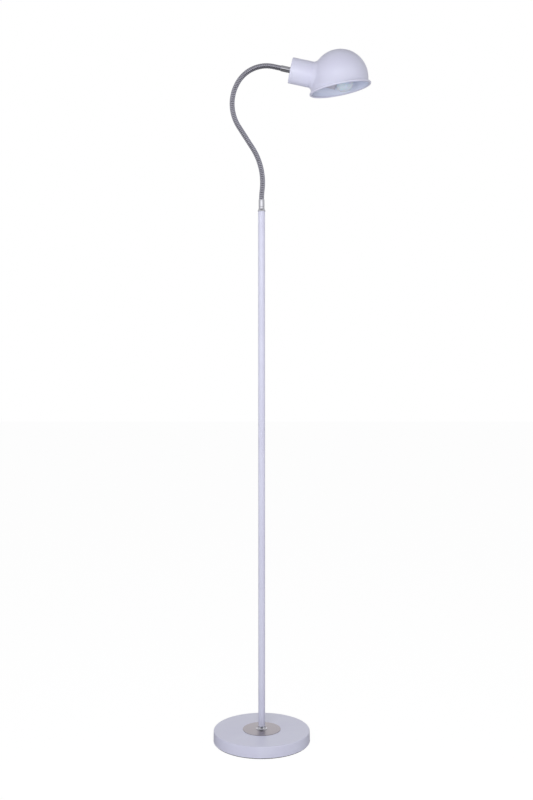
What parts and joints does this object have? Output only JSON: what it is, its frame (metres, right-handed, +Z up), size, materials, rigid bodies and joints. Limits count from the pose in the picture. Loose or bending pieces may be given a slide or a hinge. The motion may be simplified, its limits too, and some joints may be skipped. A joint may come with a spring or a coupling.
{
  "type": "gooseneck reading floor lamp",
  "caption": "Free-standing reading lamp with a round weighted base, a slim sectional pole and a bendable gooseneck that carries a domed shade.",
  "frame": {"origin": "centre of the base's underside, on the floor", "axes": "+Z up along the pole; +X from the pole towards the lamp head; the gooseneck lies in the XZ plane at rest; the cord inlet faces +Y"},
  "size_m": [0.3669, 0.234, 1.6216],
  "materials": {
    "white_paint": "satin powder coat",
    "cast_iron": "rough casting",
    "zinc_steel": "zinc plated",
    "felt": "pressed felt",
    "brushed_nickel": "brushed nickel plate",
    "chrome": "bright chrome plate",
    "hose_steel": "chrome plated wound steel",
    "rubber": "moulded",
    "brass": "plain",
    "holder_plastic": "pale grey moulded polyester",
    "porcelain": "unglazed",
    "lead_sheath": "soft sheath",
    "bulb_metal": "plain",
    "bulb_insulator": "black glass",
    "frosted_glass": "inner frosted"
  },
  "bodies": {
    "stand": {"floor_pad": "felt", "bottom_plate": "zinc_steel", "bottom_plate_screws": "zinc_steel", "ballast_disc": "cast_iron", "base_cover": "white_paint", "cord_grommet": "rubber", "trim_plate": "brushed_nickel", "pole_collar": "chrome", "base_tube": "zinc_steel", "base_washer": "zinc_steel", "base_nut": "zinc_steel", "earth_tag": "brass", "earth_screw": "zinc_steel", "pole_lower": "white_paint", "pole_lower_middle": "white_paint", "pole_upper_middle": "white_paint", "pole_upper": "white_paint", "pole_bush_lower": "zinc_steel", "pole_bush_lower_middle": "zinc_steel", "pole_bush_upper_middle": "zinc_steel", "pole_bush_upper": "zinc_steel", "pole_stud_lower": "zinc_steel", "pole_stud_middle": "zinc_steel", "pole_stud_upper": "zinc_steel", "pole_top_bush": "zinc_steel", "pole_cap": "chrome", "pole_lead": "lead_sheath", "neck_ferrule_lower": "chrome", "neck_hose_01": "hose_steel"},
    "neck_02": {"neck_hose_02": "hose_steel"},
    "neck_03": {"neck_hose_03": "hose_steel"},
    "neck_04": {"neck_hose_04": "hose_steel"},
    "neck_05": {"neck_hose_05": "hose_steel"},
    "neck_06": {"neck_hose_06": "hose_steel"},
    "neck_07": {"neck_hose_07": "hose_steel"},
    "neck_08": {"neck_hose_08": "hose_steel"},
    "neck_09": {"neck_hose_09": "hose_steel"},
    "neck_10": {"neck_hose_10": "hose_steel"},
    "neck_11": {"neck_hose_11": "hose_steel"},
    "head": {"neck_hose_12": "hose_steel", "neck_ferrule_upper": "chrome", "shade_cup": "white_paint", "shade": "white_paint", "cup_washer": "zinc_steel", "cup_nut": "zinc_steel", "holder_cap": "holder_plastic", "holder_skirt": "holder_plastic", "contact_carrier": "porcelain", "screw_shell": "brass", "centre_contact": "brass", "terminal_screws": "brass", "head_lead": "lead_sheath", "bulb_cap": "bulb_metal", "bulb_insulator": "bulb_insulator", "bulb_tip": "bulb_metal", "bulb_globe": "frosted_glass"}
  },
  "joints": [
    {"name": "bend_lower_1", "type": "hinge", "parent": "stand", "child": "neck_02", "pos_m": [0.00226, 0, 1.31427], "axis": [0, 1, 0], "range_deg": [-12, 12]},
    {"name": "sway_lower_1", "type": "hinge", "parent": "neck_02", "child": "neck_03", "pos_m": [-0.00028, 0, 1.34727], "axis": [-0.9818, 0, -0.19], "range_deg": [-12, 12]},
    {"name": "bend_lower_2", "type": "hinge", "parent": "neck_03", "child": "neck_04", "pos_m": [-0.01024, 0, 1.37883], "axis": [0, 1, 0], "range_deg": [-12, 12]},
    {"name": "sway_lower_2", "type": "hinge", "parent": "neck_04", "child": "neck_05", "pos_m": [-0.02679, 0, 1.40752], "axis": [-0.8387, 0, -0.5446], "range_deg": [-12, 12]},
    {"name": "bend_lower_3", "type": "hinge", "parent": "neck_05", "child": "neck_06", "pos_m": [-0.04485, 0, 1.43534], "axis": [0, 1, 0], "range_deg": [-12, 12]},
    {"name": "sway_upper_1", "type": "hinge", "parent": "neck_06", "child": "neck_07", "pos_m": [-0.06119, 0, 1.46411], "axis": [-0.9317, 0, -0.3633], "range_deg": [-12, 12]},
    {"name": "bend_upper_1", "type": "hinge", "parent": "neck_07", "child": "neck_08", "pos_m": [-0.06766, 0, 1.49647], "axis": [0, 1, 0], "range_deg": [-12, 12]},
    {"name": "sway_upper_2", "type": "hinge", "parent": "neck_08", "child": "neck_09", "pos_m": [-0.06268, 0, 1.52909], "axis": [-0.9473, 0, 0.3203], "range_deg": [-12, 12]},
    {"name": "bend_upper_2", "type": "hinge", "parent": "neck_09", "child": "neck_10", "pos_m": [-0.0467, 0, 1.55793], "axis": [0, 1, 0], "range_deg": [-12, 12]},
    {"name": "sway_upper_3", "type": "hinge", "parent": "neck_10", "child": "neck_11", "pos_m": [-0.02047, 0, 1.5778], "axis": [-0.4179, 0, 0.9085], "range_deg": [-12, 12]},
    {"name": "bend_upper_3", "type": "hinge", "parent": "neck_11", "child": "head", "pos_m": [0.01169, 0, 1.58479], "axis": [0, 1, 0], "range_deg": [-12, 12]}
  ],
  "couplings": [
    {"joint": "bend_lower_2", "follows": "bend_lower_1", "ratio": 1},
    {"joint": "sway_lower_2", "follows": "sway_lower_1", "ratio": 1},
    {"joint": "bend_lower_3", "follows": "bend_lower_1", "ratio": 1},
    {"joint": "sway_upper_2", "follows": "sway_upper_1", "ratio": 1},
    {"joint": "bend_upper_2", "follows": "bend_upper_1", "ratio": 1},
    {"joint": "sway_upper_3", "follows": "sway_upper_1", "ratio": 1},
    {"joint": "bend_upper_3", "follows": "bend_upper_1", "ratio": 1}
  ]
}
